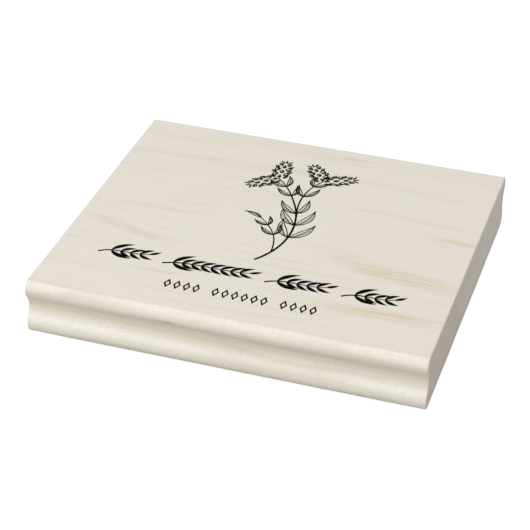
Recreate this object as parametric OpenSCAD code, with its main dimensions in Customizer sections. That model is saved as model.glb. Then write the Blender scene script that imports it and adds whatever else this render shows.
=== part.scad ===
// A wood-mounted rubber stamp. A block of milled hardwood moulding carries a foam cushion and an
// engraved rubber die under it, and the index print that shows what it stamps on top.
// X runs along the two milled edges, Y across them, and +Z is up. The origin is in the middle of
// the printing face, which is what the stamp rests on.

/* [Block] */
// Length of the block along its milled edges
block_l = 127; // [112:1:180]
// Width of the block over its two upper beads
block_w = 114.3; // [106:0.1:160]
// Thickness of the block
block_t = 19.05; // [16:0.05:24]

/* [Milled edge] */
// Radius of the upper bead, as a share of the block's thickness
bead_share = 0.184; // [0.18:0.001:0.19]
// Radius of the finger cove, as a share of the block's thickness
cove_share = 0.315; // [0.31:0.001:0.33]
// Radius of the lower bead, as a share of the block's thickness
foot_share = 0.223; // [0.22:0.001:0.24]

/* [Layers under the block] */
// Length of the die, the cushion and the films
die_l = 106; // [104:1:110]
// Width of the die, the cushion and the films
die_w = 96; // [95:0.5:98]
// Radius of the trimmed corners
corner_r = 3; // [1:0.5:5]
// Height of the lines that print above the die's floor
relief_t = 1; // [0.6:0.1:1.4]
// Thickness of the rubber under those lines
floor_t = 1.3; // [0.8:0.1:2]
// Thickness of the foam cushion
cushion_t = 1.6; // [1:0.1:3.2]
// Thickness of each adhesive film
film_t = 0.1; // [0.05:0.01:0.2]

/* [Artwork] */
// Thickness of the ink of the index print
ink_t = 0.04; // [0.02:0.01:0.1]
// Width of the fine lines
fine = 0.36; // [0.3:0.02:0.5]
// Width of the broad strokes of the laurel
broad = 1.3; // [0.9:0.1:1.6]
// How far a line spreads on each side as it prints
spread = 0.02; // [0.01:0.01:0.04]

/* [Hidden] */
$fn = 96;

// Heights of the layers, from the printing face up
rubber_t = relief_t + floor_t;
cushion_z = rubber_t + film_t;
block_film_z = cushion_z + cushion_t;
block_z = block_film_z + film_t;
top_z = block_z + block_t;

// The milled edge is three arcs, each tangent to the next. Their ends are given as the angle
// between the surface's outward normal and straight up.
bead_r = bead_share * block_t;
cove_r = cove_share * block_t;
foot_r = foot_share * block_t;
crown_angle = 26;
bead_to_cove = 130;
cove_to_foot = 54;
bead_at = [block_w / 2 - bead_r, block_t - bead_r * cos(crown_angle)];
cove_at = bead_at + (bead_r + cove_r) * normal(bead_to_cove);
foot_at = cove_at - (foot_r + cove_r) * normal(cove_to_foot);
crown_edge = bead_at + bead_r * normal(crown_angle);
bead_edge = bead_at + bead_r * normal(bead_to_cove);
foot_edge = foot_at + foot_r * normal(cove_to_foot);
sole_edge = [foot_at[0] + sqrt(foot_r * foot_r - foot_at[1] * foot_at[1]), 0];

// The sprig: a stem that forks, a side shoot, and four scaly flower heads
stem = [[-1, -21.5], [7.5, -11], [6.5, 4], [1, 15]];
left_branch = [[1, 15], [-1.5, 20], [-4, 25], [-9, 29.5]];
right_branch = [[4, 7.5], [1.5, 16], [1.5, 25], [6, 32]];
side_shoot = [[2.6, -15.5], [2, -8], [0, -3], [-6.5, 3]];
head_l = 11.5;
head_w = 6.6;
head_rows = 7;

// The laurel: twigs laid end to end, with this many pairs of leaves
twig_pairs = [4, 8, 5, 4];
laurel_x = -49;
laurel_y = -30.2;
pair_pitch = 3;
twig_lead = 4.6;
twig_tip = 2.6;
twig_gap = 1.1;
first_leaf = 8.2;
laurel_leaf = 5.2;

// The lozenge row: groups of this many lozenges
lozenge_groups = [4, 6, 4];
lozenge_x = -23.5;
lozenge_y = -42.8;
lozenge_h = 5;
lozenge_w = 2.4;
lozenge_pitch = 3.1;
lozenge_gap = 3.1;

// Unit vector at an angle from straight up
function normal(a) = [sin(a), cos(a)];

// Sum of the first n values of a list
function total(list, n) = n == 0 ? 0 : list[n - 1] + total(list, n - 1);

// Point of a cubic curve at t from 0 to 1
function curve(p, t) = pow(1 - t, 3) * p[0] + 3 * pow(1 - t, 2) * t * p[1]
    + 3 * (1 - t) * t * t * p[2] + t * t * t * p[3];

// Heading of that curve, in degrees
function heading(p, t) = let (
    d = pow(1 - t, 2) * (p[1] - p[0]) + 2 * (1 - t) * t * (p[2] - p[1]) + t * t * (p[3] - p[2])
) atan2(d[1], d[0]);

// Point at a distance to the left of a curve
function beside(p, t, d) = curve(p, t) + d * [-sin(heading(p, t)), cos(heading(p, t))];

// A cubic curve of a given length that leaves a point at an angle and bends by a turn
function sweep(at, angle, len, turn) = [
    at,
    at + len / 3 * [cos(angle), sin(angle)],
    at + len * 2 / 3 * [cos(angle + turn / 2), sin(angle + turn / 2)],
    at + len * [cos(angle + turn), sin(angle + turn)]
];

// A line along a curve, whose width goes from one value to another
module line(p, from_w, to_w, steps = 10) {
    polygon([
        for (i = [0:steps]) beside(p, i / steps, (from_w + (to_w - from_w) * i / steps) / 2),
        for (i = [steps:-1:0]) beside(p, i / steps, -(from_w + (to_w - from_w) * i / steps) / 2)
    ]);
}

// A closed blade along a curve, pointed at both ends and widest a little before its middle
module blade(p, width, steps = 8) {
    polygon([
        for (i = [0:steps]) beside(p, i / steps, width / 2 * sin(180 * pow(i / steps, 0.85))),
        for (i = [steps - 1:-1:1]) beside(p, i / steps, -width / 2 * sin(180 * pow(i / steps, 0.85)))
    ]);
}

// An outlined leaf with its midrib
module leaf(at, angle, len, turn) {
    p = sweep(at, angle, len, turn);
    difference() {
        blade(p, len * 0.27);
        offset(delta = -fine) blade(p, len * 0.27);
    }
    line(p, fine, fine / 2, 5);
}

// Pairs of leaves along a stem, longest in its middle
module leaf_pairs(p, places, len) {
    for (t = places, side = [-1, 1]) {
        leaf(curve(p, t), heading(p, t) + side * 54, len * (0.72 + 0.4 * sin(180 * t)), -side * 26);
    }
}

// A flower head: rows of overlapping scales on an oval, three and two to a row in turn
module flower_head(at, angle) {
    translate(at) rotate(angle) for (row = [0:head_rows - 1]) {
        share = (row + 0.7) / head_rows;
        half = head_w / 2 * sqrt(sin(180 * pow(share, 0.75)));
        count = 3 - row % 2;
        for (i = [0:count - 1]) {
            place = (2 * i + 1) / count - 1;
            scale_at = [head_l * share - 0.9, half * place * 0.95];
            blade(sweep(scale_at, place * 38, 2.1, place * 25), half * 1.25 / count + 0.3, 6);
        }
    }
}

module sprig() {
    line(stem, 0.9, 0.6);
    line(left_branch, 0.6, 0.45);
    line(right_branch, 0.6, 0.45);
    line(side_shoot, 0.5, 0.35);
    leaf_pairs(stem, [0.44, 0.64, 0.83], 10.5);
    leaf_pairs(side_shoot, [0.5, 0.8], 6);
    leaf_pairs(left_branch, [0.3, 0.66], 7);
    leaf_pairs(right_branch, [0.5, 0.8], 7);
    leaf(curve(side_shoot, 1), heading(side_shoot, 1), 7, 20);
    flower_head(curve(left_branch, 1), 92);
    flower_head(curve(left_branch, 1), 222);
    flower_head(curve(right_branch, 1), 124);
    flower_head(curve(right_branch, 1), 24);
}

module lozenge(w, h) {
    polygon([[-w / 2, 0], [0, -h / 2], [w / 2, 0], [0, h / 2]]);
}

// Length of a twig from the foot of its stem to the end of it
function twig_length(pairs) = twig_lead + (pairs - 1) * pair_pitch + twig_tip;

// A twig of laurel: a swaying stem, pairs of solid leaves of which the first is the longest, and
// a leaf at its tip
module twig(start, pairs) {
    len = twig_length(pairs);
    p = [
        [start, laurel_y - 2.4], [start + len * 0.28, laurel_y + 1.6],
        [start + len * 0.7, laurel_y - 1.6], [start + len, laurel_y + 0.8]
    ];
    line(p, fine * 2, fine, 14);
    for (i = [0:pairs - 1], side = [-1, 1]) {
        t = (twig_lead + i * pair_pitch) / len;
        leaf_l = i == 0 ? first_leaf : laurel_leaf;
        leaf_p = sweep(curve(p, t - 0.04), heading(p, t) + side * 56, leaf_l, -side * 26);
        blade(leaf_p, leaf_l * 0.1 + broad * 0.7);
    }
    blade(sweep(curve(p, 0.97), heading(p, 1), laurel_leaf * 0.85, 8), broad);
}

module laurel() {
    steps = [for (pairs = twig_pairs) twig_length(pairs) + laurel_leaf * 0.8 + twig_gap];
    for (g = [0:len(twig_pairs) - 1]) {
        twig(laurel_x + total(steps, g), twig_pairs[g]);
    }
}

module lozenge_row() {
    for (g = [0:len(lozenge_groups) - 1], i = [0:lozenge_groups[g] - 1]) {
        along = (total(lozenge_groups, g) + i + 0.5) * lozenge_pitch + g * lozenge_gap;
        translate([lozenge_x + along, lozenge_y]) difference() {
            lozenge(lozenge_w, lozenge_h);
            lozenge(lozenge_w * 0.5, lozenge_h * 0.5);
        }
    }
}

// Section of the block across its length, with the sole on the Y axis
module half_section() {
    difference() {
        union() {
            polygon([
                [0, 0], sole_edge, foot_at, foot_edge, bead_edge, bead_at, crown_edge, [0, block_t]
            ]);
            intersection() {
                union() {
                    translate(bead_at) circle(bead_r);
                    translate(foot_at) circle(foot_r);
                }
                square([block_w, block_t]);
            }
        }
        translate(cove_at) circle(cove_r);
    }
}

module block_section() {
    half_section();
    mirror([1, 0]) half_section();
}

// Trimmed outline of the die, the cushion and the films
module trimmed_sheet() {
    square([die_l, die_w - 2 * corner_r], center = true);
    square([die_l - 2 * corner_r, die_w], center = true);
    for (x = [-1, 1], y = [-1, 1]) {
        translate([x * (die_l / 2 - corner_r), y * (die_w / 2 - corner_r)]) circle(corner_r);
    }
}

module layer(z, t) {
    translate([0, 0, z]) linear_extrude(t) trimmed_sheet();
}

module wood_block() {
    color("blanchedalmond") translate([-block_l / 2, 0, block_z])
        rotate([90, 0, 90]) linear_extrude(block_l) block_section();
}

module index_sprig() {
    color("#222222") translate([0, 0, top_z]) linear_extrude(ink_t) offset(delta = spread) sprig();
}

module index_laurel() {
    color("#222222") translate([0, 0, top_z])
        linear_extrude(ink_t) offset(delta = spread) laurel();
}

module index_lozenge_row() {
    color("#222222") translate([0, 0, top_z])
        linear_extrude(ink_t) offset(delta = spread) lozenge_row();
}

module block_adhesive() {
    color("wheat") layer(block_film_z, film_t);
}

module foam_cushion() {
    color("gray") layer(cushion_z, cushion_t);
}

module die_adhesive() {
    color("wheat") layer(rubber_t, film_t);
}

module rubber_die() {
    color("indianred") {
        layer(relief_t, floor_t);
        linear_extrude(relief_t) offset(delta = spread / 2) {
            sprig();
            laurel();
            lozenge_row();
        }
    }
}

wood_block();
index_sprig();
index_laurel();
index_lozenge_row();
block_adhesive();
foam_cushion();
die_adhesive();
rubber_die();
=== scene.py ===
"""A wood-mounted rubber stamp, from its maple block to the die under it. Sizes are in millimetres
until make_piece() turns them into metres."""

import bpy
import numpy as np
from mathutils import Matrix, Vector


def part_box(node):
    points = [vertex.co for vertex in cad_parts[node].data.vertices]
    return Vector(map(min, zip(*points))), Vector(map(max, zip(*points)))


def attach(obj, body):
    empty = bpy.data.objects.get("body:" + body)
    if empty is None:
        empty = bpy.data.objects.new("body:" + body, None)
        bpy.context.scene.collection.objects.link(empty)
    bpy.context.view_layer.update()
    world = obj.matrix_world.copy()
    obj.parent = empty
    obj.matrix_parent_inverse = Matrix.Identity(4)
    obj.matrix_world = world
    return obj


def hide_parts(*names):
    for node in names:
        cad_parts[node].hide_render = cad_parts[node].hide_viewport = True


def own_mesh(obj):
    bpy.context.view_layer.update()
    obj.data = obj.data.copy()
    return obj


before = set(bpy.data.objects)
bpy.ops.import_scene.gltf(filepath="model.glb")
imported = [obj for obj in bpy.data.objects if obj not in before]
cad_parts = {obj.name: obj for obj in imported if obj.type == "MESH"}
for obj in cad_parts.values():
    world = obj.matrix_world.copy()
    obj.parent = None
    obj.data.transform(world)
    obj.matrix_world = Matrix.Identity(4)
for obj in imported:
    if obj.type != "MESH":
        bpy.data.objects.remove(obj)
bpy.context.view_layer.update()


# ---------------------------------------------------------------------------------------------
# Wood block
# One length of hard maple moulding, flat-sawn. A moulder's knives cut the bead, finger cove and
# lower bead of both long edges; top and sole are flat, the two ends are left from the saw, and
# the arrises are only just eased.
# ---------------------------------------------------------------------------------------------

def node_box(node):
    """The lowest and the highest corner of a CAD node, in millimetres."""
    low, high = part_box(node)
    return np.array(low) * 1000, np.array(high) * 1000


def normal(angle):
    """The unit vector (y, z) at an angle from straight up, in degrees."""
    a = np.radians(angle)
    return np.stack([np.sin(a), np.cos(a)], -1)


def wander(t, seed, waves=9):
    """A smooth random line from about -1 to 1: a sum of sines whose strength falls with pitch."""
    draw = np.random.default_rng(seed)
    pitch = np.arange(1, waves + 1) * draw.uniform(0.8, 1.2, waves)
    phase = draw.uniform(0, 2 * np.pi, waves)
    strength = 1 / np.sqrt(np.arange(1, waves + 1))
    total = np.sin(2 * np.pi * np.multiply.outer(t, pitch) + phase) @ strength
    return total / np.sqrt(strength @ strength)


def grid_faces(index, closed=False):
    """The quads between neighbouring points of a two-way grid of vertex numbers."""
    if closed:
        index = np.concatenate([index, index[:, :1]], 1)
    corners = [index[:-1, :-1], index[:-1, 1:], index[1:, 1:], index[1:, :-1]]
    return np.stack(corners, -1).reshape(-1, 4)


def fill_rim(rim, nx, ny):
    """A grid of nx by ny points over the inside of a four-sided rim that starts at its lowest
    left corner. Each point is the blend across it plus the blend up it, minus the blend of the
    corners."""
    south, east = rim[:nx], rim[nx - 1:nx + ny - 1]
    north = rim[nx + ny - 2:2 * nx + ny - 2][::-1]
    west = np.concatenate([rim[2 * nx + ny - 3:], rim[:1]])[::-1]
    u = ((south[:, 0] - south[0, 0]) / np.ptp(south[:, 0]))[:, None, None]
    v = ((west[:, 1] - west[0, 1]) / np.ptp(west[:, 1]))[None, :, None]
    sides = (1 - v) * south[:, None] + v * north[:, None] + (1 - u) * west[None] + u * east[None]
    corners = (1 - u) * ((1 - v) * south[0] + v * north[0]) + u * ((1 - v) * south[-1] + v * north[-1])
    return sides - corners


def rim_of(grid):
    """The values round the rim of a grid, in the same order."""
    return np.concatenate([grid[:-1, 0], grid[-1, :-1], grid[:0:-1, -1], grid[0, :0:-1]])


def outward(points, faces):
    """The closed quads of a shell, turned so that the volume inside them is positive. It is the
    sum of the triple products of their halves."""
    a, b, c, d = (points[faces[:, i]] for i in range(4))
    halves = np.cross(a, b) * c + np.cross(a, c) * d
    return faces if halves.sum() > 0 else faces[:, ::-1]


def make_piece(name, shells, materials, body, finish_of=None, smooth=True):
    """Puts shells, each the points in millimetres and the quads of a closed surface, into one
    piece that rides on a CAD body."""
    start = np.cumsum([0] + [len(points) for points, faces in shells])
    faces = np.concatenate([outward(*shell) + first for shell, first in zip(shells, start)])
    points = np.concatenate([points for points, faces in shells])
    mesh = bpy.data.meshes.new(name)
    mesh.from_pydata((points / 1000).tolist(), [], faces.tolist())
    for material in materials:
        mesh.materials.append(material)
    if finish_of is not None:
        mesh.polygons.foreach_set("material_index", finish_of.astype(np.int32))
    mesh.polygons.foreach_set("use_smooth", np.broadcast_to(smooth, len(faces)).tolist())
    mesh.update()
    piece = bpy.data.objects.new(name, mesh)
    bpy.context.scene.collection.objects.link(piece)
    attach(piece, body)
    return piece


def milled_edge(block_t, arc_points=18):
    """One milled edge from the sole to the top: three arcs, each tangent to the next. A point of
    a bead is its centre plus the radius along the surface's normal, and of the cove, minus it.
    Returns y from the upper bead's centre, z from the sole, and the normals' angles."""
    bead_r, cove_r, foot_r = 0.184 * block_t, 0.315 * block_t, 0.223 * block_t
    crown, bead_to_cove, cove_to_foot = 26, 130, 54
    bead = np.array([0, block_t]) - [0, bead_r * normal(crown)[1]]
    cove = bead + (bead_r + cove_r) * normal(bead_to_cove)
    foot = cove - (foot_r + cove_r) * normal(cove_to_foot)
    sole = np.degrees(np.arccos(-foot[1] / foot_r))
    angles = [
        np.linspace(sole, cove_to_foot, arc_points),
        np.linspace(cove_to_foot, bead_to_cove, arc_points)[1:],
        np.linspace(bead_to_cove, crown, arc_points)[1:],
    ]
    arcs = [
        foot + foot_r * normal(angles[0]),
        cove - cove_r * normal(angles[1]),
        bead + bead_r * normal(angles[2]),
    ]
    return np.concatenate(arcs), np.concatenate(angles), bead_r


block_low, block_high = node_box("wood_block")
block_l, block_w, block_t = block_high - block_low
edge, edge_angle, bead_r = milled_edge(block_t)
edge = edge + [block_w / 2 - bead_r, 0]

# The section is one closed loop: up the right edge, across the top, down the left, across the sole.
columns = 40
across = np.linspace(1, -1, columns + 1)[1:-1, None]
top_run = np.concatenate([across * edge[-1, 0], np.full_like(across, block_t)], 1)
sole_run = np.concatenate([-across * edge[0, 0], np.zeros_like(across)], 1)
section = np.concatenate([edge, top_run, edge[::-1] * [-1, 1], sole_run])
flat_up, flat_down = np.tile(normal(0), (len(top_run), 1)), np.tile(normal(180), (len(sole_run), 1))
edge_out = normal(edge_angle)
edge_out[0], edge_out[-1] = normal(166), normal(13)
edge_out = edge_out / np.abs(edge_out).max(1, keepdims=True).clip(0.98)
section_out = np.concatenate([edge_out, flat_up, edge_out[::-1] * [-1, 1], flat_down])

# Along the block the loop keeps its shape, and it draws in round the eased arris at each end.
arris_r = 0.42
ease = np.radians(np.linspace(90, 0, 6))
end_x = block_l / 2 - arris_r * (1 - np.sin(ease)[::-1])
station_x = np.concatenate([-end_x[::-1], np.linspace(-1, 1, 60)[1:-1] * (block_l / 2 - arris_r), end_x])
station_x = np.unique(np.round(station_x, 6))
past = np.clip(np.abs(station_x) - (block_l / 2 - arris_r), 0, arris_r)
draw_in = arris_r - np.sqrt(np.clip(arris_r ** 2 - past ** 2, 0, None))
round_loop = np.arange(len(section)) / len(section)
softness = 1 + 0.35 * wander(round_loop, 3, 24)
loops = section - section_out * draw_in[:, None, None] * softness[:, None]
loops = np.concatenate([np.broadcast_to(station_x[:, None, None], loops.shape[:2] + (1,)), loops], 2)
loops[..., 2] += block_low[2]

# Each sawn end is a grid that fills the loop it closes.
rows = len(edge)
points, faces, finish_of = [loops.reshape(-1, 3)], [], []
loop_index = np.arange(loops.shape[0] * loops.shape[1]).reshape(loops.shape[:2])
faces.append(grid_faces(loop_index, closed=True))
round_finish = np.full(len(section), 1)
round_finish[rows - 1:rows + columns - 1] = 0
round_finish[2 * rows + columns - 2:] = 0
finish_of.append(np.tile(round_finish, len(station_x) - 1))
for station, turn in [(0, 1), (-1, -1)]:
    rim = np.roll(loops[station], 2 - 2 * rows - columns, 0)
    inner = fill_rim(rim[:, 1:], columns + 1, rows)[1:-1, 1:-1].reshape(-1, 2)
    cap = np.zeros((columns + 1, rows), int)
    cap[1:-1, 1:-1] = sum(map(len, points)) + np.arange(len(inner)).reshape(columns - 1, rows - 2)
    south, east = loop_index[station][2 * rows + columns - 2:], loop_index[station][:rows]
    cap[:-1, 0], cap[-1] = south, east
    cap[1:-1, -1] = loop_index[station][rows:rows + columns - 1][::-1]
    cap[0] = loop_index[station][rows + columns - 1:2 * rows + columns - 1][::-1]
    points.append(np.insert(inner, 0, rim[0, 0], 1))
    faces.append(grid_faces(cap)[:, ::turn])
    finish_of.append(np.full(len(faces[-1]), 2))
block_points, block_faces = np.concatenate(points), np.concatenate(faces)
block_finish = np.concatenate(finish_of)


def put(tree, kind, inputs=None, **settings):
    """Adds a node to a tree. Each input gets its value, or a link where the value is a socket."""
    node = tree.nodes.new(kind)
    for name, value in settings.items():
        setattr(node, name, value)
    for name, value in (inputs or {}).items():
        if isinstance(value, bpy.types.NodeSocket):
            tree.links.new(value, node.inputs[name])
        else:
            node.inputs[name].default_value = value
    return node


def calc(tree, operation, a, b=0.0, c=0.0):
    """The result of a Math node."""
    return put(tree, "ShaderNodeMath", {0: a, 1: b, 2: c}, operation=operation).outputs[0]


def span(tree, value, low, high, to_low=0.0, to_high=1.0):
    """A value carried smoothly from one span to another, and held at its ends."""
    inputs = {"Value": value, 1: low, 2: high, 3: to_low, 4: to_high}
    return put(tree, "ShaderNodeMapRange", inputs, interpolation_type="SMOOTHSTEP").outputs[0]


def tint(tree, factor, a, b, blend="MIX"):
    """Two colours mixed by a factor."""
    inputs = {0: factor, 6: a, 7: b}
    return put(tree, "ShaderNodeMix", inputs, data_type="RGBA", blend_type=blend).outputs[2]


def noise(tree, place, stretch, detail=2.0, rough=0.5):
    """Noise whose grain along X, Y and Z is stretch cells a millimetre."""
    place = put(tree, "ShaderNodeVectorMath", {0: place, 1: stretch}, operation="MULTIPLY").outputs[0]
    inputs = {"Vector": place, "Scale": 1.0, "Detail": detail, "Roughness": rough}
    return put(tree, "ShaderNodeTexNoise", inputs).outputs["Fac"]


def millimetres(tree):
    """The Object coordinates, in millimetres."""
    place = put(tree, "ShaderNodeTexCoord").outputs["Object"]
    return put(tree, "ShaderNodeVectorMath", {0: place, "Scale": 1000.0}, operation="SCALE").outputs[0]


def srgb(red, green, blue):
    """A colour given from 0 to 255 on a screen, as the linear values that a shader takes."""
    share = np.array([red, green, blue]) / 255
    linear = np.where(share <= 0.04045, share / 12.92, ((share + 0.055) / 1.055) ** 2.4)
    return (*linear.tolist(), 1.0)


def new_group(name, inputs, outputs):
    """A shader node group with named inputs and outputs, and the two nodes that hold them."""
    group = bpy.data.node_groups.new(name, "ShaderNodeTree")
    for label, kind, default in inputs:
        group.interface.new_socket(label, in_out="INPUT", socket_type=kind).default_value = default
    for label, kind in outputs:
        group.interface.new_socket(label, in_out="OUTPUT", socket_type=kind)
    given, result = group.nodes.new("NodeGroupInput"), group.nodes.new("NodeGroupOutput")
    return group, given.outputs, result.inputs


def maple_figure():
    """Solid maple. Growth rings are circles about a pith line along X, below and behind the block,
    bent by slow noise; late wood darkens each ring to a thin line. Fibres, ray flecks and pores
    are noise drawn out along X. Every face cuts through the same figure."""
    group, given, result = new_group("maple_figure", [
        ("Early wood", "NodeSocketColor", (0.7, 0.6, 0.5, 1)),
        ("Late wood", "NodeSocketColor", (0.6, 0.5, 0.4, 1)),
        ("Rings", "NodeSocketFloat", 0.5),
        ("Fibres", "NodeSocketFloat", 0.5),
        ("Flecks", "NodeSocketFloat", 0.5),
        ("Pores", "NodeSocketFloat", 0.5),
    ], [("Color", "NodeSocketColor"), ("Height", "NodeSocketFloat")])
    pith_y, pith_z, ring_step, ring_sway = 76.0, -84.0, 3.4, 7.0
    place = millimetres(group)
    axes = put(group, "ShaderNodeSeparateXYZ", {0: place}).outputs
    slow = calc(group, "SUBTRACT", noise(group, place, (0.016, 0.03, 0.04), 3.0, 0.45), 0.5)
    from_y = calc(group, "SUBTRACT", axes["Y"], pith_y)
    from_z = calc(group, "SUBTRACT", axes["Z"], pith_z)
    y_square = calc(group, "MULTIPLY", from_y, from_y)
    z_square = calc(group, "MULTIPLY", from_z, from_z)
    true_radius = calc(group, "SQRT", calc(group, "ADD", y_square, z_square))
    radius = calc(group, "MULTIPLY_ADD", slow, ring_sway, true_radius)
    year = calc(group, "FRACT", calc(group, "DIVIDE", radius, ring_step))
    late = calc(group, "MULTIPLY", span(group, year, 0.5, 0.95), span(group, year, 1.0, 0.96))
    presence = span(group, noise(group, place, (0.02, 0.07, 0.07), 2.0), 0.35, 0.7, 0.15, 1.0)
    hair = span(group, noise(group, place, (0.022, 1.3, 1.3), 2.0, 0.45), 0.64, 0.72, 0.0, 0.8)
    late = calc(group, "MAXIMUM", calc(group, "MULTIPLY", late, presence), hair)
    late = calc(group, "MULTIPLY", late, given["Rings"])
    fibre = calc(group, "SUBTRACT", noise(group, place, (0.07, 2.6, 2.6), 4.0, 0.6), 0.5)
    cloud = calc(group, "SUBTRACT", noise(group, place, (0.015, 0.12, 0.12), 3.0), 0.5)
    depth = calc(group, "MULTIPLY", calc(group, "MULTIPLY_ADD", cloud, 1.3, fibre), given["Fibres"])
    fleck = span(group, noise(group, place, (0.9, 2.8, 2.8), 3.0, 0.6), 0.5, 0.72)
    fleck = calc(group, "MULTIPLY", fleck, given["Flecks"])
    pore = span(group, noise(group, place, (0.9, 9.0, 9.0), 2.0, 0.55), 0.66, 0.74)
    pore = calc(group, "MULTIPLY", pore, given["Pores"])
    shade = tint(group, calc(group, "ADD", late, depth), given["Early wood"], given["Late wood"])
    shade = tint(group, fleck, shade, given["Late wood"])
    dark = tint(group, 1.0, given["Late wood"], srgb(205, 186, 160), "MULTIPLY")
    group.links.new(tint(group, pore, shade, dark), result["Color"])
    height = calc(group, "MULTIPLY_ADD", pore, -1.2, calc(group, "MULTIPLY", fibre, given["Fibres"]))
    group.links.new(calc(group, "MULTIPLY_ADD", late, -0.3, height), result["Height"])
    return group


def mineral_streak():
    """A faint stain in the wood: strongest at its centre, fading along a sloping line that slow
    noise pulls out of true, and broken into threads by the fibres."""
    group, given, result = new_group("mineral_streak", [
        ("Color", "NodeSocketColor", (0.7, 0.6, 0.5, 1)),
        ("Stain", "NodeSocketColor", (0.6, 0.5, 0.4, 1)),
        ("Centre", "NodeSocketVector", (0, 0, 0)),
        ("Half length", "NodeSocketFloat", 20.0),
        ("Half width", "NodeSocketFloat", 2.0),
        ("Slope", "NodeSocketFloat", 0.0),
        ("Strength", "NodeSocketFloat", 0.5),
    ], [("Color", "NodeSocketColor")])
    place = millimetres(group)
    inputs = {0: place, 1: given["Centre"]}
    offset = put(group, "ShaderNodeVectorMath", inputs, operation="SUBTRACT").outputs[0]
    axes = put(group, "ShaderNodeSeparateXYZ", {0: offset}).outputs
    sway = calc(group, "SUBTRACT", noise(group, place, (0.05, 0.05, 0.05), 3.0), 0.5)
    sway = calc(group, "MULTIPLY", sway, calc(group, "MULTIPLY", given["Half width"], 1.6))
    aside = calc(group, "SUBTRACT", axes["Y"], calc(group, "MULTIPLY", axes["X"], given["Slope"]))
    aside = calc(group, "ABSOLUTE", calc(group, "ADD", aside, sway))
    aside = calc(group, "MAXIMUM", aside, calc(group, "ABSOLUTE", axes["Z"]))
    across = calc(group, "DIVIDE", aside, given["Half width"])
    along = calc(group, "DIVIDE", calc(group, "ABSOLUTE", axes["X"]), given["Half length"])
    mask = calc(group, "MULTIPLY", span(group, across, 1.0, 0.0), span(group, along, 1.0, 0.1))
    thread = span(group, noise(group, place, (0.035, 1.7, 1.7), 4.0, 0.65), 0.42, 0.66, 0.12, 1.0)
    mask = calc(group, "MULTIPLY", calc(group, "MULTIPLY", mask, thread), given["Strength"])
    group.links.new(tint(group, mask, given["Color"], given["Stain"]), result["Color"])
    return group


FIGURE, STREAK = maple_figure(), mineral_streak()


def new_material(name):
    """A material with its Principled shader."""
    material = bpy.data.materials.new(name)
    material.use_nodes = True
    return material, material.node_tree, material.node_tree.nodes["Principled BSDF"]


def emboss(tree, shader, height, depth, strength=1.0):
    """Bump of a given depth in millimetres, into the shader's Normal."""
    inputs = {"Height": height, "Distance": depth / 1000, "Strength": strength}
    tree.links.new(put(tree, "ShaderNodeBump", inputs).outputs[0], shader.inputs["Normal"])


def maple(name, early, late, rings, fibres, flecks, pores):
    """One finish of the maple, before its roughness and tool marks."""
    material, tree, shader = new_material(name)
    inputs = {"Early wood": early, "Late wood": late, "Rings": rings,
              "Fibres": fibres, "Flecks": flecks, "Pores": pores}
    figure = put(tree, "ShaderNodeGroup", inputs, node_tree=FIGURE).outputs
    shader.inputs["Specular IOR Level"].default_value = 0.3
    return material, tree, shader, figure["Color"], figure["Height"]


def stained(tree, colour, stains, stain):
    """A colour with stains over it: for each, its centre, half length, half width, slope and
    strength."""
    for centre, half_length, half_width, slope, strength in stains:
        inputs = {"Color": colour, "Stain": stain, "Centre": centre, "Half length": half_length,
                  "Half width": half_width, "Slope": slope, "Strength": strength}
        colour = put(tree, "ShaderNodeGroup", inputs, node_tree=STREAK).outputs["Color"]
    return colour


def planed_maple():
    """Top and sole: a slightly greyer tone than the milled edges, with faint tan streaks."""
    material, tree, shader, colour, height = maple(
        "planed_maple", srgb(230, 224, 213), srgb(198, 182, 155), 0.16, 0.16, 0.08, 0.25)
    colour = stained(tree, colour, [
        ((42, -16, 23), 34, 6.2, -0.2, 1.0), ((58, 8, 23), 16, 3.0, 0.05, 0.8),
        ((-46, -16, 23), 22, 3.2, -0.25, 0.75), ((-40, -1, 23), 16, 2.0, 0.0, 0.6),
        ((12, 50, 23), 10, 1.5, 0.05, 0.8), ((-44, 34, 23), 30, 2.2, 0.06, 0.55),
        ((44, -38, 23), 30, 4.6, 0.06, 0.8), ((-28, -37, 23), 14, 1.8, 0.0, 0.5),
    ], srgb(204, 186, 138))
    tree.links.new(colour, shader.inputs["Base Color"])
    tree.links.new(span(tree, height, -1.0, 0.5, 0.75, 0.55), shader.inputs["Roughness"])
    emboss(tree, shader, height, 0.05)
    return material


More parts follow.
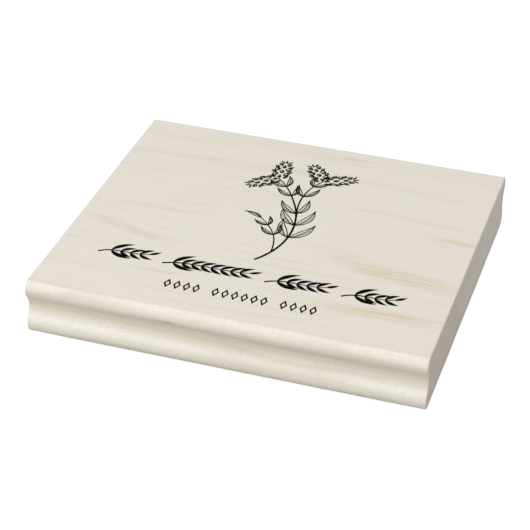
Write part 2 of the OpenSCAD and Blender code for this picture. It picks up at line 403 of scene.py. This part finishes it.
def milled_maple():
    """The milled edges: a creamier tone, with ray flecks and the close ripple that the cutter
    head leaves. The cove and the underside are painted darker, as painted shade, and the crest
    between them paler, as a painted highlight. Those three tones were fitted under one light, and
    aren't a known property of the wood."""
    material, tree, shader, colour, height = maple(
        "milled_maple", srgb(238, 232, 220), srgb(203, 184, 154), 0.28, 0.25, 0.4, 0.3)
    colour = stained(tree, colour, [
        ((-17, -57, 18.7), 4.0, 0.6, 0.0, 0.9), ((31, -57, 9.0), 4.0, 0.5, 0.0, 0.4),
        ((-48, 56, 18), 5.0, 0.6, 0.0, 0.9),
    ], srgb(140, 106, 76))
    place = millimetres(tree)
    axes = put(tree, "ShaderNodeSeparateXYZ", {0: place}).outputs
    along, up = axes["X"], axes["Z"]
    # Painted shade in the cove, a painted highlight on the crest and painted shade on the underside: the
    # heights where each tone starts, is full from, is full to and ends
    for start, low, high, end, tone in [
            (11.3, 14.6, 19.0, 21.5, (0.945, 0.91, 0.855, 1)),
            (8.4, 9.9, 10.6, 12.2, (1.03, 1.05, 1.07, 1)),
            (-2.0, -1.0, 5.0, 9.6, (0.94, 0.945, 0.875, 1))]:
        painted_light_zone = calc(tree, "MULTIPLY", span(tree, up, start, low), span(tree, up, end, high))
        colour = tint(tree, painted_light_zone, colour, tone, "MULTIPLY")
    tree.links.new(colour, shader.inputs["Base Color"])
    tree.links.new(span(tree, height, -1.0, 0.5, 0.7, 0.48), shader.inputs["Roughness"])
    knife_step = 1.15
    ripple = calc(tree, "SINE", calc(tree, "MULTIPLY", along, 2 * np.pi / knife_step))
    even = span(tree, noise(tree, place, (0.08, 0.2, 0.2), 1.0), 0.35, 0.65, 0.1, 0.5)
    emboss(tree, shader, calc(tree, "MULTIPLY_ADD", ripple, calc(tree, "MULTIPLY", even, 0.4), height), 0.05)
    return material


def sawn_maple():
    """The ends: cut pores drink the light, and the saw leaves arcs as wide as its blade. The tone
    darkens towards the front as painted shade, and is paler in the lower half as painted bounce
    light; both were fitted under one light, as the tones of the milled edges were."""
    material, tree, shader, colour, height = maple(
        "sawn_maple", srgb(220, 214, 206), srgb(178, 161, 136), 0.34, 0.3, 0.1, 0.8)
    shader.inputs["Roughness"].default_value = 0.85
    place = millimetres(tree)
    axes = put(tree, "ShaderNodeSeparateXYZ", {0: place}).outputs
    # Painted shade: the end is darker towards the front.
    colour = tint(tree, span(tree, axes["Y"], 40, -60), colour, (0.92, 0.895, 0.86, 1), "MULTIPLY")
    # Painted bounce light: the lower half of the end is paler and cooler.
    colour = tint(tree, span(tree, axes["Z"], 16, 11), colour, (1.03, 1.04, 1.08, 1), "MULTIPLY")
    tree.links.new(colour, shader.inputs["Base Color"])
    saw_r, tooth_step = 127.0, 0.9
    down = calc(tree, "SUBTRACT", axes["Z"], saw_r * 0.8)
    down_square = calc(tree, "MULTIPLY", down, down)
    reach = calc(tree, "SQRT", calc(tree, "MULTIPLY_ADD", axes["Y"], axes["Y"], down_square))
    mark = calc(tree, "SINE", calc(tree, "MULTIPLY", reach, 2 * np.pi / tooth_step))
    even = span(tree, noise(tree, place, (0.1, 0.3, 0.3), 2.0), 0.4, 0.7, 0.0, 0.5)
    emboss(tree, shader, calc(tree, "MULTIPLY_ADD", mark, even, height), 0.06)
    return material


wood = make_piece(
    "maple_block", [(block_points, block_faces)], [planed_maple(), milled_maple(), sawn_maple()],
    "block", block_finish, smooth=block_finish == 1)
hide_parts("wood_block")


# ---------------------------------------------------------------------------------------------
# Index print
# The same picture as the die prints, put on the top of the block in flat black ink: a forked
# sprig, a band of laurel twigs and a row of lozenges. The ink lies in fine films on the wood and
# takes a little less on the pores than between them.
# ---------------------------------------------------------------------------------------------

def curve(p, t):
    """Points of a cubic curve through its first and last of four control points."""
    p, t = np.asarray(p, float), np.asarray(t, float)[..., None]
    return (1 - t) ** 3 * p[0] + 3 * (1 - t) ** 2 * t * p[1] + 3 * (1 - t) * t ** 2 * p[2] + t ** 3 * p[3]


def heading(p, t):
    """The angle of that curve at t, in degrees, from the sum of its weighted legs."""
    p = np.asarray(p, float)
    leg = (1 - t) ** 2 * (p[1] - p[0]) + 2 * (1 - t) * t * (p[2] - p[1]) + t * t * (p[3] - p[2])
    return np.degrees(np.arctan2(leg[1], leg[0]))


def bearing(angle):
    """The unit vector at an angle in degrees from X."""
    return np.array([np.cos(np.radians(angle)), np.sin(np.radians(angle))])


def sweep(at, angle, length, turn):
    """The control points of a curve of a given length that leaves a point at an angle and bends."""
    legs = [0 * bearing(0), length / 3 * bearing(angle),
            length * 2 / 3 * bearing(angle + turn / 2), length * bearing(angle + turn)]
    return np.asarray(at, float) + legs


def sideways(path, closed=False):
    """The unit normals to the left of a path, lengthened at corners as a mitre is."""
    legs = np.roll(path, -1, 0) - path
    legs = legs / np.linalg.norm(legs, axis=1, keepdims=True).clip(1e-9)
    before = np.roll(legs, 1, 0)
    if not closed:
        before[0], legs[-1] = legs[0], before[-1]
    mean = legs + before
    mean = mean / np.linalg.norm(mean, axis=1, keepdims=True).clip(1e-9)
    mitre = (mean * legs).sum(1, keepdims=True).clip(0.4)
    return np.stack([-mean[:, 1], mean[:, 0]], 1) / mitre


def blade_half(width, t):
    """Half the width of a blade along its length: the sine of a bent share of it."""
    return width / 2 * np.sin(np.pi * t ** 0.85)


class Drawing:
    """The lines of the picture: for each, its path, its half width along it and if it closes."""

    def __init__(self):
        self.strokes = []

    def line(self, p, from_w, to_w, steps=10):
        """A line along a curve, whose width goes from one value to another."""
        t = np.linspace(0, 1, steps + 1)
        self.strokes.append((curve(p, t), np.linspace(from_w, to_w, steps + 1) / 2, False))

    def blade(self, p, width, steps=12):
        """A solid blade, pointed at both ends."""
        t = np.linspace(0, 1, steps + 1)
        self.strokes.append((curve(p, t), blade_half(width, t).clip(0.03), False))

    def blade_side(self, p, width, side, line_w, steps=12):
        """The outline of one side of a blade, drawn just inside it."""
        t = np.linspace(0, 1, steps + 1)
        path = curve(p, t)
        aside = (blade_half(width, t) - line_w / 2).clip(0)
        path = path + side * aside[:, None] * sideways(path)
        self.strokes.append((path, np.full(len(t), line_w / 2), False))

    def hatch(self, p, width, share, line_w, start, stop, steps=5):
        """A shading line along a blade, at a share of the way from its midrib to its side."""
        t = np.linspace(start, stop, steps)
        path = curve(p, t)
        path = path + share * blade_half(width, t)[:, None] * sideways(path)
        taper = np.linspace(1, 0.45, steps)
        self.strokes.append((path, line_w / 2 * taper, False))

    def loop(self, corners, line_w, steps=5):
        """A closed outline with straight sides."""
        corners = np.asarray(corners, float)
        share = np.linspace(0, 1, steps, endpoint=False)[:, None]
        sides = [a * (1 - share) + b * share for a, b in zip(corners, np.roll(corners, -1, 0))]
        path = np.concatenate(sides)
        self.strokes.append((path, np.full(len(path), line_w / 2), True))


fine, broad = 0.36, 1.3
stem = np.array([[-1, -21.5], [7.5, -11], [6.5, 4], [1, 15]])
left_branch = np.array([[1, 15], [-1.5, 20], [-4, 25], [-9, 29.5]])
right_branch = np.array([[4, 7.5], [1.5, 16], [1.5, 25], [6, 32]])
side_shoot = np.array([[2.6, -15.5], [2, -8], [0, -3], [-6.5, 3]])


def leaf(drawing, at, angle, length, turn):
    """An outlined leaf with its midrib, veins that leave it towards the tip on one side, and
    shading lines along the other."""
    p, width = sweep(at, angle, length, turn), length * 0.27
    for side in (-1, 1):
        drawing.blade_side(p, width, side, fine)
    drawing.line(p, fine, fine / 2, 8)
    shaded = -1 if turn > 0 else 1
    for share in (0.3, 0.55):
        drawing.hatch(p, width, shaded * share, 0.17, 0.12, 0.86 - share * 0.3, 8)
    for t in np.linspace(0.24, 0.76, max(3, int(length * 0.8))):
        vein = sweep(curve(p, t), heading(p, t) - shaded * 38, blade_half(width, t) * 0.8, shaded * 12)
        drawing.line(vein, 0.17, 0.1, 3)


def leaf_pairs(drawing, p, places, length):
    """Pairs of leaves along a stem, longest in its middle."""
    for t in places:
        for side in (-1, 1):
            leaf(drawing, curve(p, t), heading(p, t) + side * 54,
                 length * (0.72 + 0.4 * np.sin(np.pi * t)), -side * 26)


def flower_head(drawing, at, angle, head_l=11.5, head_w=6.6, rows=7):
    """Rows of scales on an oval, three and two to a row in turn. A scale is an outline hatched
    so closely on its lower side that it prints solid there."""
    turned = np.stack([bearing(angle), bearing(angle + 90)])
    for row in range(rows):
        share = (row + 0.7) / rows
        half = head_w / 2 * np.sqrt(np.sin(np.pi * share ** 0.75))
        count = 3 - row % 2
        for place in (2 * np.arange(count) + 1) / count - 1:
            p = sweep([head_l * share - 0.9, half * place * 0.95], place * 38, 2.1, place * 25)
            p, width = at + p @ turned, half * 1.25 / count + 0.3
            for side in (-1, 1):
                drawing.blade_side(p, width, side, 0.36, 8)
            for hatch, line_w in [(-0.7, 0.4), (-0.42, 0.38), (-0.14, 0.3), (0.16, 0.2), (0.45, 0.14)]:
                drawing.hatch(p, width, hatch, line_w, 0.1, 0.9 - 0.3 * (hatch + 0.7))


def sprig():
    """A stem that forks, a side shoot, leaves in pairs and four scaly flower heads."""
    drawing = Drawing()
    for p, from_w, to_w in [(stem, 0.9, 0.6), (left_branch, 0.6, 0.45),
                            (right_branch, 0.6, 0.45), (side_shoot, 0.5, 0.35)]:
        drawing.line(p, from_w, to_w, 32)
    leaf_pairs(drawing, stem, [0.44, 0.64, 0.83], 10.5)
    leaf_pairs(drawing, side_shoot, [0.5, 0.8], 6)
    leaf_pairs(drawing, left_branch, [0.3, 0.66], 7)
    leaf_pairs(drawing, right_branch, [0.5, 0.8], 7)
    leaf(drawing, curve(side_shoot, 1), heading(side_shoot, 1), 7, 20)
    for branch, angle in [(left_branch, 92), (left_branch, 222), (right_branch, 124), (right_branch, 24)]:
        flower_head(drawing, curve(branch, 1), angle)
    return drawing


def laurel(start=-49, y=-30.2, pitch=3, lead=4.6, tip=2.6, first_leaf=8.2, other_leaf=5.2):
    """Four twigs of laurel laid end to end, each a swaying stem with pairs of solid leaves, of
    which the first is the longest, and a leaf at its tip."""
    drawing = Drawing()
    for pairs in (4, 8, 5, 4):
        length = lead + (pairs - 1) * pitch + tip
        p = np.array([[0, -2.4], [length * 0.28, 1.6], [length * 0.7, -1.6], [length, 0.8]]) + [start, y]
        drawing.line(p, fine * 2, fine, 24)
        for i in range(pairs):
            t = (lead + i * pitch) / length
            leaf_l = other_leaf if i else first_leaf
            for side in (-1, 1):
                leaf_p = sweep(curve(p, t - 0.04), heading(p, t) + side * 56, leaf_l, -side * 26)
                drawing.blade(leaf_p, leaf_l * 0.1 + broad * 0.7, 16)
        drawing.blade(sweep(curve(p, 0.97), heading(p, 1), other_leaf * 0.85, 8), broad)
        start = start + length + other_leaf * 0.8 + 1.1
    return drawing


def lozenge_row():
    """Three groups of outlined lozenges. Their hollow is half as large as they are, so the line
    runs three quarters of the way out."""
    drawing, start, pitch = Drawing(), -23.5, 3.1
    half = np.array([2.4, 5.0]) / 2
    line_w = half.prod() / np.linalg.norm(half) / 2
    for count in (4, 6, 4):
        for i in range(count):
            middle = [start + (i + 0.5) * pitch, -42.8]
            drawing.loop(middle + np.array([[-1, 0], [0, -1], [1, 0], [0, 1]]) * half * 0.75, line_w)
        start = start + (count + 1) * pitch
    return drawing


def bands(drawing, across, outset, heights, seed, ragged=0.012, level=0.006):
    """Every stroke as a closed band: its path carries a section whose points lie at shares
    across its half width, plus an outset, at given heights. The ends slope out as far as the
    sides do, over half the width. Its width wavers a little and no two bands are quite level,
    as in ink or cut rubber. Returns points and faces."""
    draw = np.random.default_rng(seed)
    points, faces, count = [], [], 0
    for path, half, closed in drawing.strokes:
        half = half + ragged * draw.standard_normal(len(path)) * (half > 0.04)
        flare = np.ones((len(path), 1))
        places = path[:, None] + np.zeros((1, len(across), 1))
        if not closed:
            flare[[0, -1]] = 0.5
            for end, before in [(0, 1), (-1, -2)]:
                leg = path[end] - path[before]
                places[end] += np.abs(outset)[:, None] * leg / max(np.linalg.norm(leg), 1e-9)
        aside = np.multiply.outer(half, across) + outset * flare
        places = places + aside[..., None] * sideways(path, closed)[:, None]
        levels = np.broadcast_to(heights + level * draw.random(), aside.shape)
        points.append(np.concatenate([places, levels[..., None]], 2).reshape(-1, 3))
        index = count + np.arange(aside.size).reshape(aside.shape)
        if closed:
            index = np.concatenate([index, index[:1]])
        faces.append(grid_faces(index, closed=True))
        if not closed:
            for rim, turn in [(index[0], 1), (index[-1], -1)]:
                fold = len(rim) // 2
                sides = np.stack([rim[:fold], rim[::-1][:fold]], 1)
                faces.append(grid_faces(sides)[:, ::turn])
        count = count + aside.size
    return np.concatenate(points), np.concatenate(faces)


def mottle():
    """Slow and fast noise over one colour, for what is printed, moulded or foamed."""
    group, given, result = new_group("mottle", [
        ("Light", "NodeSocketColor", (0.6, 0.6, 0.6, 1)),
        ("Dark", "NodeSocketColor", (0.4, 0.4, 0.4, 1)),
        ("Slow", "NodeSocketFloat", 0.15),
        ("Fast", "NodeSocketFloat", 4.0),
        ("Fast share", "NodeSocketFloat", 0.4),
    ], [("Color", "NodeSocketColor"), ("Patch", "NodeSocketFloat"), ("Grain", "NodeSocketFloat")])
    place = millimetres(group)
    patch, grain = (
        put(group, "ShaderNodeTexNoise",
            {"Vector": place, "Scale": given[pace], "Detail": 3.0}).outputs["Fac"]
        for pace in ("Slow", "Fast"))
    patch = span(group, patch, 0.3, 0.7)
    mixed = calc(group, "MULTIPLY_ADD", calc(group, "SUBTRACT", grain, 0.5), given["Fast share"], patch)
    mixed = put(group, "ShaderNodeClamp", {"Value": mixed}).outputs[0]
    group.links.new(tint(group, mixed, given["Light"], given["Dark"]), result["Color"])
    group.links.new(patch, result["Patch"])
    group.links.new(grain, result["Grain"])
    return group


MOTTLE = mottle()


def mottled(tree, light, dark, slow, fast, fast_share):
    """The outputs of that group with its inputs set."""
    inputs = {"Light": light, "Dark": dark, "Slow": slow, "Fast": fast, "Fast share": fast_share}
    return put(tree, "ShaderNodeGroup", inputs, node_tree=MOTTLE).outputs


def printed_ink():
    """Flat black ink. It breaks into specks over the pores, where the wood shows through."""
    material, tree, shader = new_material("printed_ink")
    film = mottled(tree, srgb(3, 3, 3), srgb(9, 8, 8), 0.3, 6.0, 0.5)
    worn = span(tree, noise(tree, millimetres(tree), (1.2, 6.0, 6.0), 3.0, 0.6), 0.66, 0.76, 0.0, 0.7)
    tree.links.new(tint(tree, worn, film["Color"], srgb(120, 112, 98)), shader.inputs["Base Color"])
    tree.links.new(span(tree, film["Patch"], 0.0, 1.0, 0.7, 0.85), shader.inputs["Roughness"])
    shader.inputs["Specular IOR Level"].default_value = 0.04
    emboss(tree, shader, film["Grain"], 0.01)
    return material


INK = printed_ink()
picture = {"index_sprig": sprig(), "index_laurel": laurel(), "index_lozenge_row": lozenge_row()}
ink_across = np.array([-1, -1, -0.7, -0.25, 0.25, 0.7, 1, 1])
ink_rise = np.array([-0.3, 0.45, 0.78, 0.85, 0.85, 0.78, 0.45, -0.3])
for number, (node, drawing) in enumerate(picture.items()):
    ink_low, ink_high = node_box(node)
    heights = ink_low[2] + ink_rise * (ink_high[2] - ink_low[2])
    shell = bands(drawing, ink_across, 0 * ink_across, heights, 40 + number)
    ink = make_piece(node.replace("index", "ink"), [shell], [INK], "block")
    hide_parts(node)


# ---------------------------------------------------------------------------------------------
# Block adhesive
# The film of pressure-sensitive adhesive that holds the cushion to the sole of the block. It and
# the layers under it are stuck together first and then trimmed as one with shears, a little
# unevenly, so they share one outline; where the shears stopped, the film stands out by a hair.
# ---------------------------------------------------------------------------------------------

def trimmed_rim(node, corner_r=3.0, arc=4, step=1.5):
    """The trimmed outline round a node's box: four sides, each with half the arc of its corners
    at both ends, drawn in by up to a third of a millimetre where the shears wandered. Returns
    the rim, its outward directions, and how many points lie along X and along Y."""
    low, high = node_box(node)
    half = (high - low)[:2] / 2
    bend = np.radians(np.linspace(45, 0, arc + 1))
    runs = []
    for along, out in (half, half[::-1]):
        count = int((2 * along - 2 * corner_r) / step)
        straight = np.linspace(-1, 1, count)[1:-1] * (along - corner_r)
        start_x = -(along - corner_r) - corner_r * np.sin(bend)
        start_y = out - corner_r * (1 - np.cos(bend))
        start = np.stack([start_x, start_y], 1)
        middle = np.stack([straight, np.full(len(straight), out)], 1)
        runs.append(np.concatenate([start, middle, start[::-1] * [-1, 1]]))
    long, short = runs
    rim = np.concatenate([
        (long * [1, -1])[:-1], short[:-1, ::-1], (long[::-1])[:-1], (short[::-1, ::-1] * [-1, 1])[:-1]])
    out = rim - rim.clip(-(half - corner_r), half - corner_r)
    out = out / np.linalg.norm(out, axis=1, keepdims=True)
    unsteady = wander(rim[:, 0] / 70, 21, 12) + wander(rim[:, 1] / 70, 22, 12)
    rim = rim - out * (0.09 * (unsteady + 2)).clip(0, 0.34)[:, None]
    return rim, out, len(long), len(short)


def trimmed_layer(node, levels, seed, lift=0.0, uneven=0.0, dents=0.0):
    """A layer of the stack, from a lift above the underside of a node's box to its top. Each
    level is a share of its thickness and how far the rim stands in there; dents roughen the cut
    side and uneven ripples the underside. Returns points and faces."""
    low, high = node_box(node)
    low = low + [0, 0, lift]
    rim, out, nx, ny = trimmed_rim(node)
    draw = np.random.default_rng(seed)
    points, loops, count = [], [], 0
    for share, inset in levels:
        z = low[2] + share * (high[2] - low[2])
        moved = rim - out * (inset + dents * draw.random(len(rim)))[:, None]
        if share in (0, 1):
            flat = fill_rim(moved, nx, ny)
            level = np.full(flat.shape[:2], z)
            if share == 0:
                level = level + uneven * wander(flat[..., 0] / 90 + flat[..., 1] / 170, seed, 14)
            index = count + np.arange(level.size).reshape(level.shape)
            loops.append(rim_of(index))
            points.append(np.concatenate([flat, level[..., None]], 2).reshape(-1, 3))
        else:
            loops.append(count + np.arange(len(rim)))
            points.append(np.concatenate([moved, np.full((len(rim), 1), z)], 1))
        count = count + len(points[-1])
    grid = np.arange(nx * ny).reshape(nx, ny)
    lid = count - nx * ny + grid
    faces = [grid_faces(grid), grid_faces(lid)[:, ::-1], grid_faces(np.array(loops), closed=True)]
    return np.concatenate(points), np.concatenate(faces)


def adhesive_film():
    """Clear amber adhesive, glossy, with the odd cloud where dust has got under its edge."""
    material, tree, shader = new_material("adhesive_film")
    film = mottled(tree, srgb(222, 194, 140), srgb(203, 168, 108), 0.12, 1.6, 0.6)
    tree.links.new(film["Color"], shader.inputs["Base Color"])
    tree.links.new(span(tree, film["Grain"], 0.35, 0.7, 0.22, 0.45), shader.inputs["Roughness"])
    shader.inputs["Subsurface Weight"].default_value = 0.3
    shader.inputs["Subsurface Scale"].default_value = 0.0004
    emboss(tree, shader, film["Grain"], 0.02)
    return material


FILM = adhesive_film()
block_film = make_piece(
    "block_film", [trimmed_layer("block_adhesive", [(0, 0.02), (0.5, -0.03), (1, 0.02)], 51, dents=0.03)],
    [FILM], "block")
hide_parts("block_adhesive")


# ---------------------------------------------------------------------------------------------
# Foam cushion
# Closed-cell foam, cut from a sheet. Its faces have the skin of the sheet; its cut side is drawn
# in a little between them, where the shears pressed it, and shows open cells. The real cushion
# gives by six tenths of a millimetre when the stamp is leaned on; here it keeps one shape.
# ---------------------------------------------------------------------------------------------

def closed_cell_foam():
    """Mid grey foam. The cells are a Voronoi pattern: pale walls, and hollows that are dented by the bump
    and painted darker, as painted shade.
    """
    material, tree, shader = new_material("closed_cell_foam")
    body = mottled(tree, srgb(132, 134, 137), srgb(112, 114, 118), 0.1, 2.5, 0.5)
    cell = put(tree, "ShaderNodeTexVoronoi", {"Vector": millimetres(tree), "Scale": 3.6}).outputs["Distance"]
    hollow = span(tree, cell, 0.55, 0.1)
    # Painted shade: the cell hollows are darkened, on top of their bump.
    hollowed = tint(tree, calc(tree, "MULTIPLY", hollow, 0.5), body["Color"], srgb(74, 75, 78))
    tree.links.new(hollowed, shader.inputs["Base Color"])
    shader.inputs["Roughness"].default_value = 0.92
    shader.inputs["Specular IOR Level"].default_value = 0.25
    emboss(tree, shader, calc(tree, "MULTIPLY_ADD", hollow, -1.0, body["Grain"]), 0.12)
    return material


foam_levels = [(0, 0.05), (0.12, 0.08), (0.3, 0.16), (0.5, 0.2), (0.7, 0.16), (0.88, 0.08), (1, 0.05)]
foam = make_piece(
    "foam_pad", [trimmed_layer("foam_cushion", foam_levels, 52, dents=0.1)],
    [closed_cell_foam()], "block")
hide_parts("foam_cushion")
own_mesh(foam)


# ---------------------------------------------------------------------------------------------
# Die adhesive
# The same film again, between the cushion and the back of the die. It moves with the die.
# ---------------------------------------------------------------------------------------------

die_film = make_piece(
    "die_film", [trimmed_layer("die_adhesive", [(0, 0.02), (0.5, -0.02), (1, 0.02)], 53, dents=0.03)],
    [FILM], "die")
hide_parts("die_adhesive")


# ---------------------------------------------------------------------------------------------
# Rubber die
# Brick-red stamp rubber, engraved by laser. The lines of the picture stand a millimetre proud on
# a thin floor, on shoulders that widen towards it so that fine lines don't bend; only their level
# tops print. The beam leaves close raster lines on the floor and a dusty bloom.
# ---------------------------------------------------------------------------------------------

def stamp_rubber():
    """One rubber with three finishes by height: printing tops smoothed by the moulded face,
    engraved shoulders and floor with raster lines and bloom, and the cut side."""
    material, tree, shader = new_material("stamp_rubber")
    body = mottled(tree, srgb(176, 84, 68), srgb(158, 70, 57), 0.08, 3.0, 0.7)
    place = millimetres(tree)
    axes = put(tree, "ShaderNodeSeparateXYZ", {0: place}).outputs
    engraved = span(tree, axes["Z"], 0.04, 0.12)
    bloom = calc(tree, "MULTIPLY", engraved, span(tree, body["Patch"], 0.0, 1.0, 0.26, 0.38))
    bloom = calc(tree, "MULTIPLY", bloom, span(tree, body["Grain"], 0.3, 0.7, 0.4, 1.0))
    tree.links.new(tint(tree, bloom, body["Color"], srgb(203, 142, 126)), shader.inputs["Base Color"])
    tree.links.new(span(tree, axes["Z"], 0.04, 0.12, 0.48, 0.88), shader.inputs["Roughness"])
    shader.inputs["Specular IOR Level"].default_value = 0.35
    raster_step = 0.34
    raster = calc(tree, "SINE", calc(tree, "MULTIPLY", axes["Y"], 2 * np.pi / raster_step))
    raster = calc(tree, "MULTIPLY", calc(tree, "MULTIPLY", raster, engraved), 0.35)
    emboss(tree, shader, calc(tree, "ADD", raster, body["Grain"]), 0.05)
    return material


# The lines stand a relief's height below the floor, and their feet are sunk into it.
die_low = node_box("rubber_die")[0]
relief, sunk = 1.0, 0.12
slab_levels = [(0, 0.05), (0.06, 0.0), (0.35, 0.03), (0.65, 0.03), (0.94, 0.0), (1, 0.04)]
slab = trimmed_layer("rubber_die", slab_levels, 54, lift=relief, uneven=0.025, dents=0.04)
line_across = np.array([-1, -1, -1, -0.92, 0.92, 1, 1, 1])
line_outset = np.array([-0.42, -0.16, -0.03, 0, 0, 0.03, 0.16, 0.42])
line_height = np.array([relief + sunk, 0.5, 0.08, 0, 0, 0.08, 0.5, relief + sunk])
lines = [bands(drawing, line_across, line_outset, die_low[2] + line_height, 60 + number, level=0.02)
         for number, drawing in enumerate(picture.values())]
die = make_piece("stamp_die", [slab, *lines], [stamp_rubber()], "die")
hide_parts("rubber_die")


# ---------------------------------------------------------------------------------------------
# Table, light and camera
# ---------------------------------------------------------------------------------------------

def table():
    """A pale table. It lights the stamp as a light grey one does, and looks white itself, with
    faint shadows, because the eye's own rays see it glow."""
    material, tree, shader = new_material("pale_table")
    shader.inputs["Base Color"].default_value = (0.59, 0.59, 0.59, 1)
    shader.inputs["Roughness"].default_value = 0.9
    shader.inputs["Emission Color"].default_value = (1, 1, 1, 1)
    seen = put(tree, "ShaderNodeLightPath").outputs["Is Camera Ray"]
    tree.links.new(calc(tree, "MULTIPLY", seen, 0.86), shader.inputs["Emission Strength"])
    half = 2.0
    mesh = bpy.data.meshes.new("table")
    corners = [(-half, -half, 0), (half, -half, 0), (half, half, 0), (-half, half, 0)]
    mesh.from_pydata(corners, [], [(0, 1, 2, 3)])
    mesh.materials.append(material)
    floor = bpy.data.objects.new("table", mesh)
    bpy.context.scene.collection.objects.link(floor)


def white_room():
    """Even light from all round, a little warmer than the key light, that looks pure white."""
    world = bpy.data.worlds.new("white_room")
    world.use_nodes = True
    tree = world.node_tree
    seen = put(tree, "ShaderNodeLightPath").outputs["Is Camera Ray"]
    even = tree.nodes["Background"].inputs
    tree.links.new(tint(tree, seen, (1, 0.982, 0.95, 1), (1, 1, 1, 1)), even["Color"])
    tree.links.new(calc(tree, "MULTIPLY_ADD", seen, 0.34, 0.66), even["Strength"])
    bpy.context.scene.world = world


def bearing_from_stamp(azimuth, elevation):
    """The unit vector from the stamp at an angle round from -Y and one up from level, in radians."""
    level = np.cos(elevation)
    return np.array([np.sin(azimuth) * level, -np.cos(azimuth) * level, np.sin(elevation)])


def soft_light(name, azimuth, elevation, distance, size, watts):
    """A square soft box that faces the stamp."""
    light = bpy.data.lights.new(name, "AREA")
    light.size, light.energy, light.color = size, watts, (1, 1.04, 1.11)
    lamp = bpy.data.objects.new(name, light)
    a, e = np.radians([azimuth, elevation])
    lamp.location = distance * bearing_from_stamp(a, e)
    lamp.rotation_euler = (np.pi / 2 - e, 0, a)
    bpy.context.scene.collection.objects.link(lamp)


def camera():
    """A long lens, turned a little about its own axis."""
    azimuth, elevation, roll = np.radians([17.315, 32.859, 0.88])
    target, distance = np.array([-5.568, 4.702, block_low[2]]) / 1000, 0.582924
    back = bearing_from_stamp(azimuth, elevation)
    right = np.cross(-back, [0, 0, 1])
    right = right / np.linalg.norm(right)
    up = np.cross(right, -back)
    place = np.eye(4)
    place[:3, 0] = np.cos(roll) * right + np.sin(roll) * up
    place[:3, 1] = np.cos(roll) * up - np.sin(roll) * right
    place[:3, 2] = back
    place[:3, 3] = target + back * distance
    lens = bpy.data.cameras.new("camera")
    lens.lens, lens.sensor_width = 119.51, 36
    view = bpy.data.objects.new("camera", lens)
    view.matrix_world = place.T.tolist()
    bpy.context.scene.collection.objects.link(view)
    bpy.context.scene.camera = view


bpy.context.scene.view_settings.view_transform = "Standard"
table()
soft_light("key", -28, 52, 1.6, 1.0, 11.4)
white_room()
camera()
